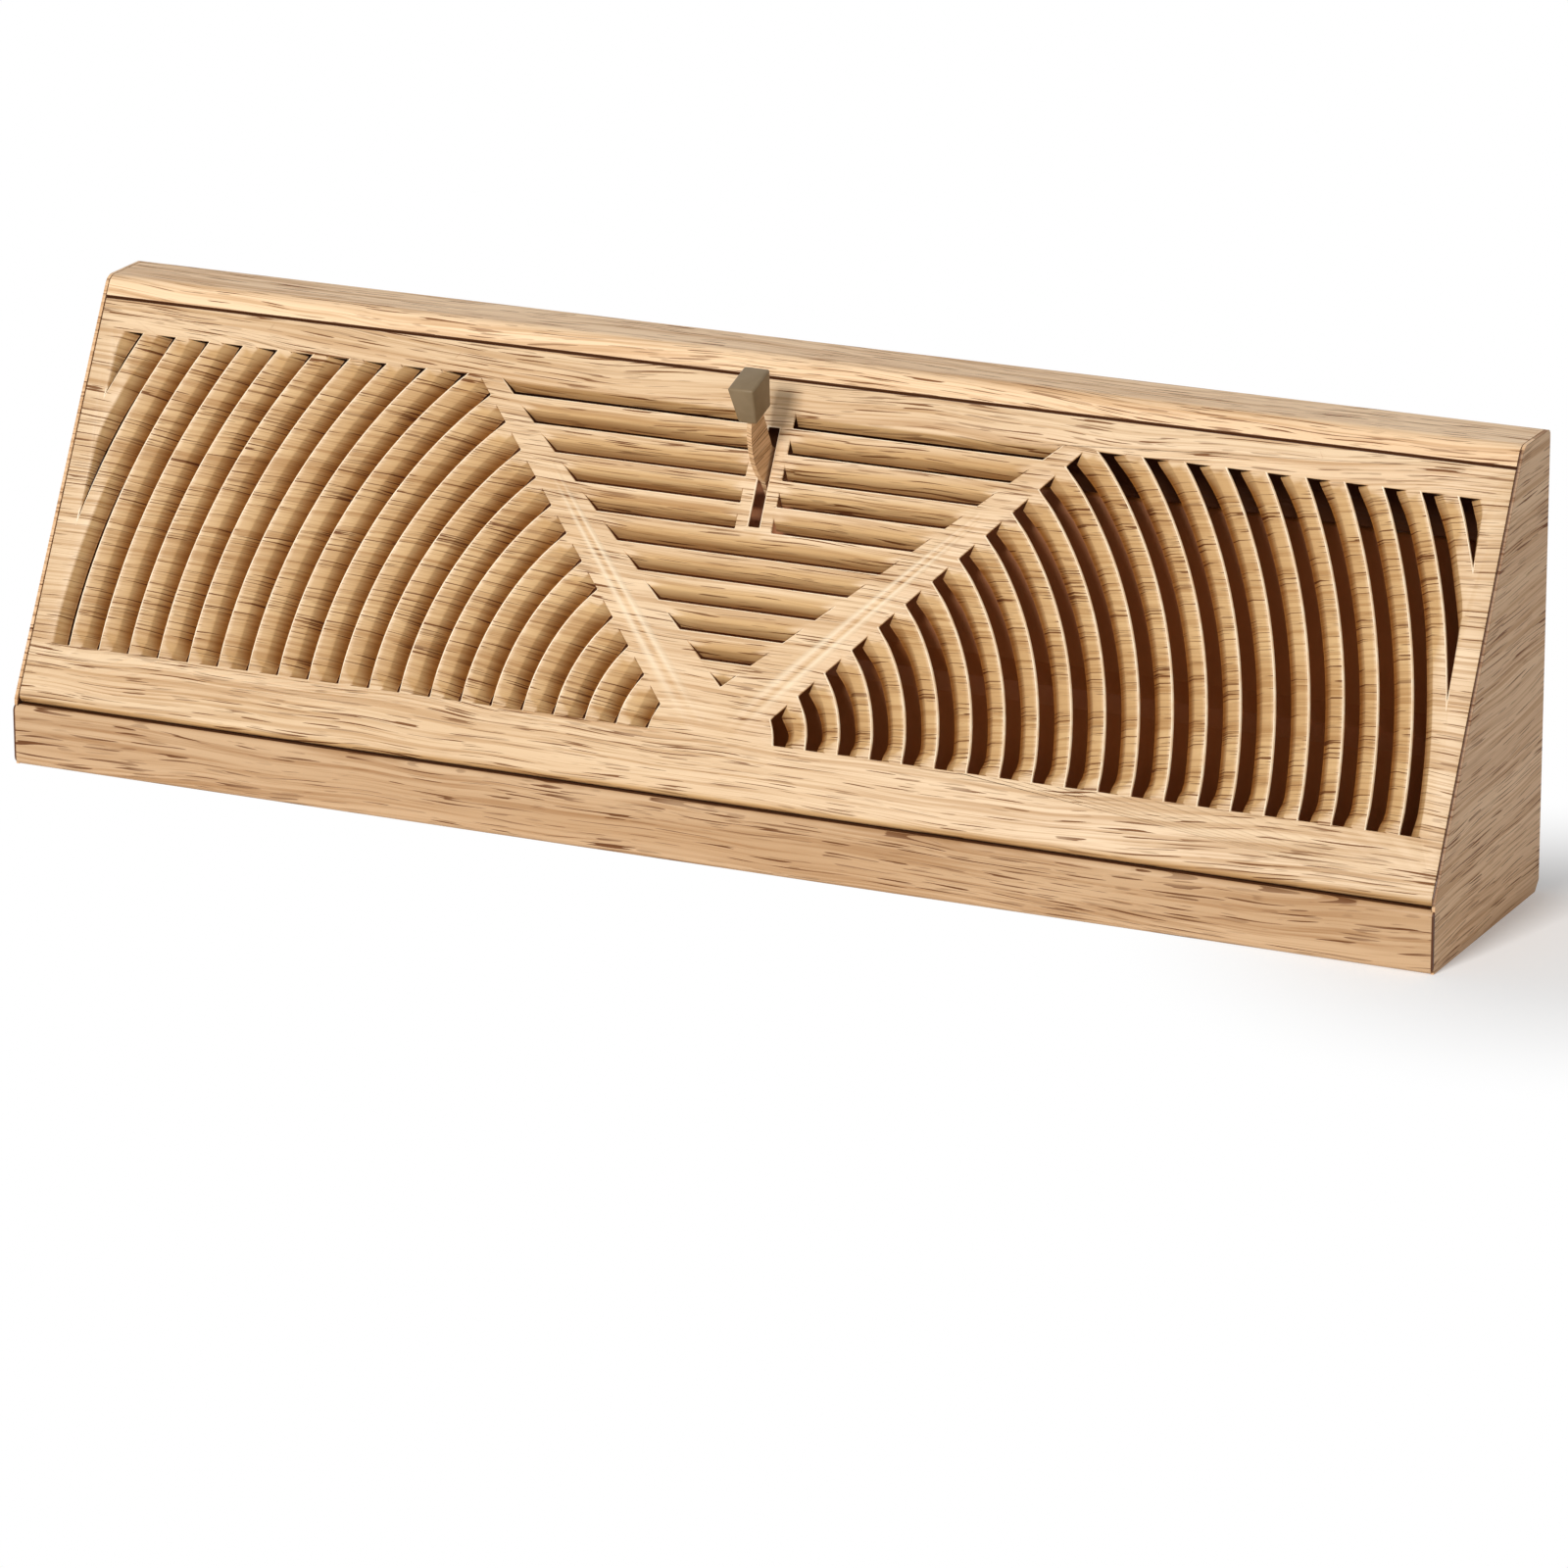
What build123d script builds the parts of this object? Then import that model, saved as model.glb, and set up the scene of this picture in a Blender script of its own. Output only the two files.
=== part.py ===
from build123d import *

import os
from math import cos, hypot, radians, sin

# Baseboard register: a sloped louvre panel in a folded sheet-steel frame, with a damper blade behind it.
# X runs along the wall, +Y points to the wall and +Z is up.
# The origin is on the floor, at mid length and mid depth.
# All sizes are in millimetres.

# Overall sizes
length = 381.0
height = 114.3
depth = 69.85
top_depth = 17.1
rail_height = 15.5
sheet = 0.8
seam = 0.25

# Folds of the frame
top_bend = 3.5
rear_bend = 1.5
rail_bend = 1.5
band_width = 5.1
lip_length = 5.5
joggle_run = 0.5
rear_flange = 34.0
floor_flange = 14.0
rail_ledge = 6.0
rail_corner = 2.0
cap_rim = 6.0
cap_chamfer = 2.5
rim_low = 12.0
rim_foot = 8.0

# Wall screws
screw_spacing = 304.8
screw_hole_radius = 2.4
screw_drop = 15.0

# Louvre panel borders
bottom_border = 17.0
top_border = 8.7
side_border = 6.8
panel_flange = 6.5
panel_roll = 2.0

# Side louvres, lanced along arcs around a centre low on the panel
first_arc = 17.0
arc_pitch = 8.5
arc_bar = 3.3
arc_gap = 2.4
arc_drop = 5.0
arc_centre_drop = 2.2

# Middle louvres, in a triangle between the two legs of a V
vee_pitch = 6.57
vee_bar = 3.0
vee_gap = 1.0
vee_drop = 3.3
vee_tip_above_field = 12.4
vee_head = 75.0
leg_foot = 9.3
leg_head = 81.4

# Stiffening bead pressed along each leg of the V
bead_foot_width = 5.0
bead_head_width = 1.6
bead_height = 0.5
bead_foot_above_field = 1.5
bead_foot_across = 4.0
bead_head_below_field = 18.7
bead_head_across = 58.5

# Lever column and slot
column_half = 4.9
column_louvres = 5
slot_width = 3.0
slot_length = 25.1
slot_below_field = 3.8

# Damper blade and its pivots
blade_deep = 12.5
pivot_back = 4.0
pivot_below_slot_top = 15.4
blade_above_pivot = 12.0
blade_below_field = 7.0
blade_low_flange = 5.0
blade_high_flange = 4.0
blade_bend = 1.5
blade_bead_half = 5.0
blade_bead_depth = 1.8
blade_bead_below_pivot = 36.0
stud_radius = 2.0
stud_pad_radius = 4.0
stud_pad = 0.8
stud_reach = 3.0
running_clearance = 0.06
washer_room = 1.6
washer_radius = 4.6
washer_clearance = 0.1
ear_radius = 6.0

# Lever, the stakes that hold it to the blade, and its knob
lever_thick = 1.2
lever_width = 9.0
lever_clearance = 4.8
lever_sagitta = 2.7
lever_root_length = 17.0
lever_root_low = 5.0
stake_length = 4.0
stake_inset = 4.0
stake_spread = 5.0
stake_head = 0.8
stake_clearance = 0.1
knob_above_slot = 0.1
knob_out = 12.3
knob_tilt = 46.9
knob_height = 10.3
knob_foot_width = 5.0
knob_foot_depth = 8.5
knob_taper = 5.4
knob_round = 0.7
knob_chamfer = 0.5
tongue_width = 6.0
tongue_length = 5.4
tongue_clearance = 0.05

# Places that follow from the sizes
front = -depth / 2
wall = depth / 2
slope_run = depth - top_depth
slope_rise = height - rail_height
slope_length = hypot(slope_run, slope_rise)
slope_sin = slope_run / slope_length
slope_cos = slope_rise / slope_length
cap_inside = length / 2 - sheet
inner_half = cap_inside - seam
seam_along = slope_length - band_width
field_bottom = bottom_border
field_top = seam_along - top_border
field_half = length / 2 - side_border
arc_centre = field_bottom - arc_centre_drop
vee_tip = field_bottom + vee_tip_above_field
bead_foot = field_bottom + bead_foot_above_field
bead_head = field_top - bead_head_below_field
slot_top = field_top - slot_below_field
slot_bottom = slot_top - slot_length
pivot_along = slot_top - pivot_below_slot_top
pivot_deep = blade_deep + pivot_back
blade_half = cap_inside - stud_pad - washer_room

# The face plane lies on the panel's outer surface, with Y up the slope and Z out of the panel.
# The slope plane looks along X: its own X runs up the slope and its own Y points out of the panel.
slope_origin = (0, front, rail_height)
face_plane = Plane(origin=slope_origin, x_dir=(1, 0, 0), z_dir=(0, -slope_cos, slope_sin))
slope_plane = Plane(origin=slope_origin, x_dir=(0, slope_sin, slope_cos), z_dir=(1, 0, 0))


def on_slope(along, out):
    """Y and Z of a point so far up the slope and so far out of the panel's surface."""
    y = front + slope_sin * along - slope_cos * out
    z = rail_height + slope_cos * along + slope_sin * out
    return (y, z)


def folded_section(plane, points, radii, side=Side.RIGHT):
    """The section of a folded sheet whose outer surface follows the points."""
    with BuildSketch(plane) as section:
        with BuildLine():
            FilletPolyline(*points, radius=radii)
            offset(amount=sheet, side=side, kind=Kind.INTERSECTION)
        make_face()
    return section.sketch


def tab_section(plane, root, run, drop):
    """The section of a louvre tab that leaves the flat bar at root and turns down behind the panel."""
    with BuildSketch(plane) as section:
        with BuildLine():
            Line((root, 0), (root - run, -drop))
            offset(amount=sheet, side=Side.LEFT)
        make_face()
        with BuildLine():
            Polyline((root, 0), (root, -sheet), (root - run / 2, -drop / 2), close=True)
        make_face()
    return section.sketch


os.makedirs("parts", exist_ok=True)

# Top rail: rear flange on the wall, flat top, rounded bend, a band on the slope and a lip behind the panel
lip_end = seam_along - joggle_run - lip_length
with BuildPart() as top_rail:
    extrude(
        folded_section(
            Plane.YZ,
            [
                on_slope(lip_end, -sheet),
                on_slope(seam_along - joggle_run, -sheet),
                on_slope(seam_along, 0),
                on_slope(slope_length, 0),
                (wall, height),
                (wall, height - rear_flange),
            ],
            [0, 0, top_bend, rear_bend],
        ),
        amount=inner_half,
        both=True,
    )
    lip_half = cap_inside - cap_rim - seam
    with BuildSketch(face_plane.offset(-sheet)) as lip_notches:
        for side in (1, -1):
            with Locations((side * (lip_half + cap_rim), seam_along + 2 * sheet - lip_length)):
                Rectangle(2 * cap_rim, 2 * lip_length)
    extrude(amount=-4 * sheet, mode=Mode.SUBTRACT)
    with BuildSketch(Plane.XZ.offset(-wall)) as screw_holes:
        with Locations((screw_spacing / 2, height - screw_drop), (-screw_spacing / 2, height - screw_drop)):
            Circle(screw_hole_radius)
    extrude(amount=2 * sheet, both=True, mode=Mode.SUBTRACT)
top_rail.part.label = "top_rail"
export_step(top_rail.part, "parts/top_rail.step")

# Louvre panel: plain sheet with a rolled bottom edge, before its louvres
panel_low = seam / slope_cos
panel_high = seam_along - joggle_run - seam
arc_open = arc_pitch - arc_bar
vee_open = vee_pitch - vee_bar
arc_reach = hypot(field_half, field_top - arc_centre)
arc_count = int((arc_reach - arc_open - first_arc) / arc_pitch) + 1
arc_lips = [first_arc + arc_pitch * place for place in range(arc_count)]
vee_count = int((field_top - vee_tip) / vee_pitch) + 1
vee_lips = [field_top - vee_open - vee_pitch * place for place in range(vee_count)]
column_bottom = vee_lips[column_louvres - 1]

# The fields that the louvres fill, and the openings that are lanced in them
with BuildSketch(face_plane) as side_fields:
    with BuildLine():
        Polyline(
            (leg_foot, field_bottom),
            (field_half, field_bottom),
            (field_half, field_top),
            (leg_head, field_top),
            close=True,
        )
    make_face()
    mirror(about=Plane.YZ)

with BuildSketch(face_plane) as arc_slots:
    with Locations((0, arc_centre)):
        for lip in reversed(arc_lips):
            Circle(lip + arc_open)
            Circle(lip, mode=Mode.SUBTRACT)
    add(side_fields.sketch_local, mode=Mode.INTERSECT)

with BuildSketch(face_plane) as vee_field:
    with BuildLine():
        Polyline((0, vee_tip), (vee_head, field_top), (-vee_head, field_top), close=True)
    make_face()
    with Locations((0, (column_bottom + field_top) / 2)):
        Rectangle(2 * column_half, field_top - column_bottom, mode=Mode.SUBTRACT)

with BuildSketch(face_plane) as vee_slots:
    for lip in vee_lips:
        with Locations((0, lip + vee_open / 2)):
            Rectangle(2 * vee_head, vee_open)
    add(vee_field.sketch_local, mode=Mode.INTERSECT)

# Arc tabs are turned about an axis through the arcs' centre, square to the panel.
arc_axis = Axis((0, *on_slope(arc_centre, 0)), face_plane.z_dir)
radial_plane = Plane(origin=arc_axis.position, x_dir=(1, 0, 0), z_dir=-slope_plane.x_dir)
with BuildPart() as arc_tabs:
    for lip in arc_lips:
        revolve(
            tab_section(radial_plane, lip + arc_open, arc_open - arc_gap, arc_drop),
            axis=arc_axis,
            revolution_arc=180,
        )
    extrude(side_fields.sketch, amount=2 * arc_drop, both=True, mode=Mode.INTERSECT)

with BuildPart() as vee_tabs:
    for lip in vee_lips:
        extrude(
            tab_section(slope_plane, lip + vee_open, vee_open - vee_gap, vee_drop),
            amount=vee_head,
            both=True,
        )
    extrude(vee_field.sketch, amount=2 * vee_drop, both=True, mode=Mode.INTERSECT)

with BuildPart() as louvre_panel:
    extrude(
        folded_section(
            slope_plane,
            [
                (panel_low + panel_flange * slope_sin, -panel_flange * slope_cos),
                (panel_low, 0),
                (panel_high, 0),
            ],
            [panel_roll],
        ),
        amount=inner_half,
        both=True,
    )
    extrude(arc_slots.sketch, amount=2 * sheet, both=True, mode=Mode.SUBTRACT)
    extrude(vee_slots.sketch, amount=2 * sheet, both=True, mode=Mode.SUBTRACT)
    add(arc_tabs.part)
    add(vee_tabs.part)
    with BuildSketch(face_plane) as lever_slot:
        with Locations((0, (slot_top + slot_bottom) / 2)):
            Rectangle(slot_width, slot_length)
    extrude(amount=2 * sheet, both=True, mode=Mode.SUBTRACT)
    for side in (1, -1):
        foot = face_plane.from_local_coords((side * bead_foot_across, bead_foot, 0))
        head = face_plane.from_local_coords((side * bead_head_across, bead_head, 0))
        along = head - foot
        across = face_plane.z_dir.cross(along)
        for place, width in ((foot, bead_foot_width), (head, bead_head_width)):
            with BuildSketch(Plane(origin=place, x_dir=across, z_dir=along)):
                with BuildLine():
                    Polyline((-width / 2, 0), (width / 2, 0), (0, bead_height), close=True)
                make_face()
        loft()
louvre_panel.part.label = "louvre_panel"
export_step(louvre_panel.part, "parts/louvre_panel.step")

# Bottom rail: a front strip as long as the register, with a floor flange and a ledge between the end caps
with BuildPart() as bottom_rail:
    extrude(
        folded_section(
            Plane.YZ,
            [
                (front + floor_flange, 0),
                (front, 0),
                (front, rail_height),
                (front + rail_ledge, rail_height),
            ],
            [rail_bend, rail_bend],
        ),
        amount=length / 2,
        both=True,
    )
    with BuildSketch(Plane.XY) as rail_notches:
        for side in (1, -1):
            with Locations((side * (inner_half + cap_rim), front + sheet + floor_flange)):
                Rectangle(2 * cap_rim, 2 * floor_flange)
    extrude(amount=2 * rail_height, mode=Mode.SUBTRACT)
    with BuildSketch(Plane.XZ.offset(-front)) as rail_outline:
        with Locations((0, rail_height / 2)):
            Rectangle(length, rail_height)
        fillet(rail_outline.vertices().group_by(Axis.Y)[0], rail_corner)
    extrude(amount=2 * floor_flange, both=True, mode=Mode.INTERSECT)
bottom_rail.part.label = "bottom_rail"
export_step(bottom_rail.part, "parts/bottom_rail.step")

# End caps: a flat plate with the register's own outline, and a rim that carries the rail and the panel
rim_corner = (slope_rise - sheet + slope_sin * sheet) / slope_cos
with BuildPart() as right_end_cap:
    with BuildSketch(Plane.YZ.offset(cap_inside)):
        with BuildLine():
            FilletPolyline(
                (front + sheet, 0),
                on_slope(sheet / slope_sin, 0),
                on_slope(slope_length, 0),
                (wall, height),
                (wall, cap_chamfer),
                (wall - cap_chamfer, 0),
                radius=[0, 0, top_bend, rear_bend, 0, 0],
                close=True,
            )
        make_face()
    extrude(amount=sheet)
    extrude(
        folded_section(
            Plane.YZ.offset(cap_inside - cap_rim),
            [
                (wall - sheet, rim_low),
                (wall - sheet, height - sheet),
                on_slope(rim_corner, -sheet),
                on_slope(rim_foot, -sheet),
            ],
            [rear_bend, top_bend],
            Side.LEFT,
        ),
        amount=cap_rim,
    )
right_end_cap.part.label = "right_end_cap"
export_step(right_end_cap.part, "parts/right_end_cap.step")

with BuildPart() as left_end_cap:
    mirror(right_end_cap.part, about=Plane.YZ)
left_end_cap.part.label = "left_end_cap"
export_step(left_end_cap.part, "parts/left_end_cap.step")

# Pivot studs: welded by their pads to the insides of the end caps
pivot_y, pivot_z = on_slope(pivot_along, -pivot_deep)
stud_length = stud_pad + washer_room + sheet + stud_reach
right_pivot_plane = Plane(origin=(cap_inside, pivot_y, pivot_z), x_dir=(0, 1, 0), z_dir=(-1, 0, 0))
with BuildPart() as pivot_studs:
    with BuildSketch(right_pivot_plane):
        Circle(stud_pad_radius)
    extrude(amount=stud_pad)
    with BuildSketch(right_pivot_plane):
        Circle(stud_radius)
    extrude(amount=stud_length)
    mirror(about=Plane.YZ)
pivot_studs.part.label = "pivot_studs"
export_step(pivot_studs.part, "parts/pivot_studs.step")

# Friction washers: fibre rings on the studs, beside the blade's ears
with BuildPart() as friction_washers:
    with BuildSketch(right_pivot_plane.offset(stud_pad)):
        Circle(washer_radius)
        Circle(stud_radius + washer_clearance, mode=Mode.SUBTRACT)
    extrude(amount=washer_room - washer_clearance)
    mirror(about=Plane.YZ)
friction_washers.part.label = "friction_washers"
export_step(friction_washers.part, "parts/friction_washers.step")

# Damper blade: a flat sheet with flanged edges, a stiffening bead and an ear at each end
blade_low = field_bottom - blade_below_field
blade_high = pivot_along + blade_above_pivot
blade_bead = pivot_along - blade_bead_below_pivot
root_low = pivot_along - lever_root_low
root_high = root_low + lever_root_length
stake_places = [root_low + stake_inset, root_high - stake_inset]
with BuildPart() as damper_blade:
    extrude(
        folded_section(
            slope_plane,
            [
                (blade_low, -blade_deep - blade_low_flange),
                (blade_low, -blade_deep),
                (blade_bead - blade_bead_half, -blade_deep),
                (blade_bead, -blade_deep - blade_bead_depth),
                (blade_bead + blade_bead_half, -blade_deep),
                (blade_high, -blade_deep),
                (blade_high, -blade_deep - blade_high_flange),
            ],
            [blade_bend, 0, 0, 0, blade_bend],
        ),
        amount=blade_half,
        both=True,
    )
    for ear_start in (blade_half - sheet, -blade_half):
        with BuildSketch(slope_plane.offset(ear_start)):
            with BuildLine():
                Polyline(
                    (pivot_along - ear_radius, -pivot_deep),
                    (pivot_along - ear_radius, -blade_deep),
                    (pivot_along + ear_radius, -blade_deep),
                    (pivot_along + ear_radius, -pivot_deep),
                )
                ThreePointArc(
                    (pivot_along + ear_radius, -pivot_deep),
                    (pivot_along, -pivot_deep - ear_radius),
                    (pivot_along - ear_radius, -pivot_deep),
                )
            make_face()
            with Locations((pivot_along, -pivot_deep)):
                Circle(stud_radius + running_clearance, mode=Mode.SUBTRACT)
        extrude(amount=sheet)
    with BuildSketch(face_plane.offset(-blade_deep)):
        for place in stake_places:
            with Locations((0, place)):
                Rectangle(lever_thick + 2 * stake_clearance, stake_length + 2 * stake_clearance)
    extrude(amount=2 * sheet, both=True, mode=Mode.SUBTRACT)
damper_blade.part.label = "damper_blade"
export_step(damper_blade.part, "parts/damper_blade.step")

# Damper lever: a flat web that passes through the panel's slot, held to the blade by two spread stakes
knob_along = slot_top + knob_above_slot
knob_cos = cos(radians(knob_tilt))
knob_sin = sin(radians(knob_tilt))


def on_knob(forward, up):
    """Place on the slope plane of a point so far forward of the knob's axis and so far up along it."""
    along = knob_along + knob_cos * up - knob_sin * forward
    out = knob_out + knob_sin * up + knob_cos * forward
    return (along, out)


lever_high = slot_top - lever_clearance
lever_low = lever_high - lever_width
with BuildPart() as damper_lever:
    with BuildSketch(slope_plane.offset(-lever_thick / 2)):
        with BuildLine():
            Polyline(
                (lever_low, 0),
                (root_low, -blade_deep),
                (root_high, -blade_deep),
                (lever_high, 0),
                on_knob(-tongue_width / 2, 0),
                on_knob(-tongue_width / 2, tongue_length),
                on_knob(tongue_width / 2, tongue_length),
                on_knob(tongue_width / 2, 0),
            )
            SagittaArc(on_knob(tongue_width / 2, 0), (lever_low, 0), -lever_sagitta)
        make_face()
    extrude(amount=lever_thick)
    with BuildSketch(face_plane.offset(-blade_deep)):
        for place in stake_places:
            with Locations((0, place)):
                Rectangle(lever_thick, stake_length)
    extrude(amount=-sheet)
    with BuildSketch(face_plane.offset(-blade_deep - sheet)):
        for place in stake_places:
            with Locations((0, place)):
                Rectangle(stake_spread, stake_length)
    extrude(amount=-stake_head)
damper_lever.part.label = "damper_lever"
export_step(damper_lever.part, "parts/damper_lever.step")

# Lever knob: a tapered block with rounded edges, pushed onto the lever's tongue
knob_y, knob_z = on_slope(knob_along, knob_out)
knob_axis = slope_plane.x_dir * knob_cos + face_plane.z_dir * knob_sin
knob_plane = Plane(origin=(0, knob_y, knob_z), x_dir=(1, 0, 0), z_dir=knob_axis)
with BuildPart() as lever_knob:
    with BuildSketch(knob_plane):
        RectangleRounded(knob_foot_width, knob_foot_depth, knob_round)
    extrude(amount=knob_height, taper=-knob_taper)
    chamfer(lever_knob.faces().sort_by(Axis((0, 0, 0), knob_axis))[-1].edges(), knob_chamfer)
    with BuildSketch(knob_plane):
        Rectangle(lever_thick + 2 * tongue_clearance, tongue_width + 2 * tongue_clearance)
    extrude(amount=tongue_length + tongue_clearance, mode=Mode.SUBTRACT)
lever_knob.part.label = "lever_knob"
export_step(lever_knob.part, "parts/lever_knob.step")
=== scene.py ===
import math

import bmesh
import bpy
from mathutils import Matrix, Vector
from mathutils.geometry import delaunay_2d_cdt


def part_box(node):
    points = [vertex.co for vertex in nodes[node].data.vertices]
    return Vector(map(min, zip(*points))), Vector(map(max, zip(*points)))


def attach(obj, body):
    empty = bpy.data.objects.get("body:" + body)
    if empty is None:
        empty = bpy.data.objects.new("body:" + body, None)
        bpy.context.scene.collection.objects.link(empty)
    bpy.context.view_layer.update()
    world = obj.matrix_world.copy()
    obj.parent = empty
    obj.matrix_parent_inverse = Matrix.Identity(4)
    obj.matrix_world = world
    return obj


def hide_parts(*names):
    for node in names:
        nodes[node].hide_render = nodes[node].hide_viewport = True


# A baseboard register: a louvre panel and frame of pressed steel with an oak print, and a dark damper blade.
# Sizes are in millimetres unless a name says otherwise, and MM turns them into the frame's metres.
MM = 0.001

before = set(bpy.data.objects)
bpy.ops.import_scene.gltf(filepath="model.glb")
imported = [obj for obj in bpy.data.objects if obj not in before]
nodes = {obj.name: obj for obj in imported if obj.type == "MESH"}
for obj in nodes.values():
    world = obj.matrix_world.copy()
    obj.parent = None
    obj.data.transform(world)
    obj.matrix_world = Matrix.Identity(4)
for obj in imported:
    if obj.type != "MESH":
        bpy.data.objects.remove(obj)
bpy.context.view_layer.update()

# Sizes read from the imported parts
_, cap_high = (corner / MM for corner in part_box("right_end_cap"))
rail_low, rail_high = (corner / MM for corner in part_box("bottom_rail"))
_, panel_box_high = (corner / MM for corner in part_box("louvre_panel"))
half_length = cap_high.x
wall = cap_high.y
height = cap_high.z
front = rail_low.y
rail_height = rail_high.z
inner_half = panel_box_high.x

# Sheet, borders and folds of the louvre panel
sheet = 0.8
seam = 0.25
top_depth = 17.1
band_width = 5.1
bottom_border = 17.0
top_border = 8.7
side_border = 6.8
panel_flange = 6.5
panel_roll = 2.0
lip_round = 0.26
lip_angle = math.radians(60)
panel_sharp = math.radians(40)
merge_distance = 0.004
same_point = 0.0005
mesh_tolerance = 1e-4

# Side louvres, lanced along arcs
first_arc = 17.0
arc_pitch = 8.5
arc_bar = 3.3
arc_gap = 2.4
arc_drop = 5.0
arc_bar_slope = math.radians(25)
arc_bend = 1.2
arc_foot_bend = 1.0
arc_centre_drop = 2.2
leg_foot = 9.3
leg_head = 81.4
arc_step = 1.8
least_steps = 6
least_gap = 0.01
head_lift = 0.18
head_lift_length = 12.0
foot_lift = 0.2
foot_lift_length = 6.0
lance_gap = 0.1
head_sag_length = 6.0
foot_sag_length = 4.5
side_sag_length = 6.0
side_steepness = 1.9

# Middle louvres, in the triangle of the V
vee_pitch = 6.57
vee_bar = 3.0
vee_gap = 1.0
vee_drop = 3.3
vee_bar_slope = math.radians(12)
vee_bend = 1.4
vee_foot_bend = 1.0
vee_tip_above_field = 12.4
vee_head = 75.0
vee_steps = 12
vee_sag_length = 6.0
column_half = 4.9
column_louvres = 5
slot_width = 3.0
slot_length = 25.1
slot_below_field = 3.8

# Beads pressed along the legs of the V
bead_foot_width = 7.0
bead_head_width = 2.8
bead_height = 0.5
bead_foot_above_field = 1.5
bead_foot_across = 4.0
bead_head_below_field = 18.7
bead_head_across = 58.5
bead_rows = 60
bead_columns = 10
bead_valley = 0.5
bead_end_power = 0.35

# Lever knob
knob_above_slot = 0.1
knob_out = 12.3
knob_tilt = math.radians(46.9)
knob_height = 10.3
knob_foot_width = 5.0
knob_foot_depth = 8.5
knob_taper = math.radians(5.4)
knob_round = 0.7
knob_sharp = math.radians(35)

# Places that follow from the sizes
slope_run = wall - front - top_depth
slope_rise = height - rail_height
slope_length = math.hypot(slope_run, slope_rise)
slope_sin = slope_run / slope_length
slope_cos = slope_rise / slope_length
field_bottom = bottom_border
seam_along = slope_length - band_width
field_top = seam_along - top_border
field_half = half_length - side_border
arc_centre = field_bottom - arc_centre_drop
arc_open = arc_pitch - arc_bar
arc_bar_drop = arc_bar * math.tan(arc_bar_slope)
arc_ceiling = field_top - arc_centre
arc_reach = math.hypot(field_half, arc_ceiling)
arc_count = int((arc_reach - arc_open - first_arc) / arc_pitch) + 1
vee_open = vee_pitch - vee_bar
vee_bar_drop = vee_bar * math.tan(vee_bar_slope)
vee_tip = field_bottom + vee_tip_above_field
vee_count = int((field_top - vee_tip) / vee_pitch) + 1
slot_top = field_top - slot_below_field
panel_low = seam / slope_cos
panel_high = (panel_box_high.z - rail_height) / slope_cos
roll_turn = math.acos(-slope_sin)
roll_tangent = panel_roll * math.tan(roll_turn / 2)
roll_start = panel_low + roll_tangent

bead_foot = Vector((bead_foot_across, field_bottom + bead_foot_above_field))
bead_head = Vector((bead_head_across, field_top - bead_head_below_field))
bead_way = (bead_head - bead_foot).normalized()
bead_length = (bead_head - bead_foot).length

X_WAY = Vector((1, 0, 0))
Y_WAY = Vector((0, 1, 0))
Z_WAY = Vector((0, 0, 1))
up_slope = Vector((0, slope_sin, slope_cos))
out_of_face = Vector((0, -slope_cos, slope_sin))


def on_face(x, along, out=0.0):
    """A point of the frame, in metres, from its place on the panel's face."""
    foot = Vector((x, front, rail_height))
    return (foot + up_slope * along + out_of_face * out) * MM


class Value:
    """A socket of a finish, on which plain arithmetic adds Math nodes."""

    def __init__(self, finish, socket):
        self.finish = finish
        self.socket = socket

    def math(self, operation, first, second):
        return self.finish.node("ShaderNodeMath", {"operation": operation}, {0: first, 1: second})

    def __add__(self, other):
        return self.math("ADD", self, other)

    def __radd__(self, other):
        return self.math("ADD", other, self)

    def __sub__(self, other):
        return self.math("SUBTRACT", self, other)

    def __rsub__(self, other):
        return self.math("SUBTRACT", other, self)

    def __mul__(self, other):
        return self.math("MULTIPLY", self, other)

    def __rmul__(self, other):
        return self.math("MULTIPLY", other, self)

    def __truediv__(self, other):
        return self.math("DIVIDE", self, other)


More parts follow.
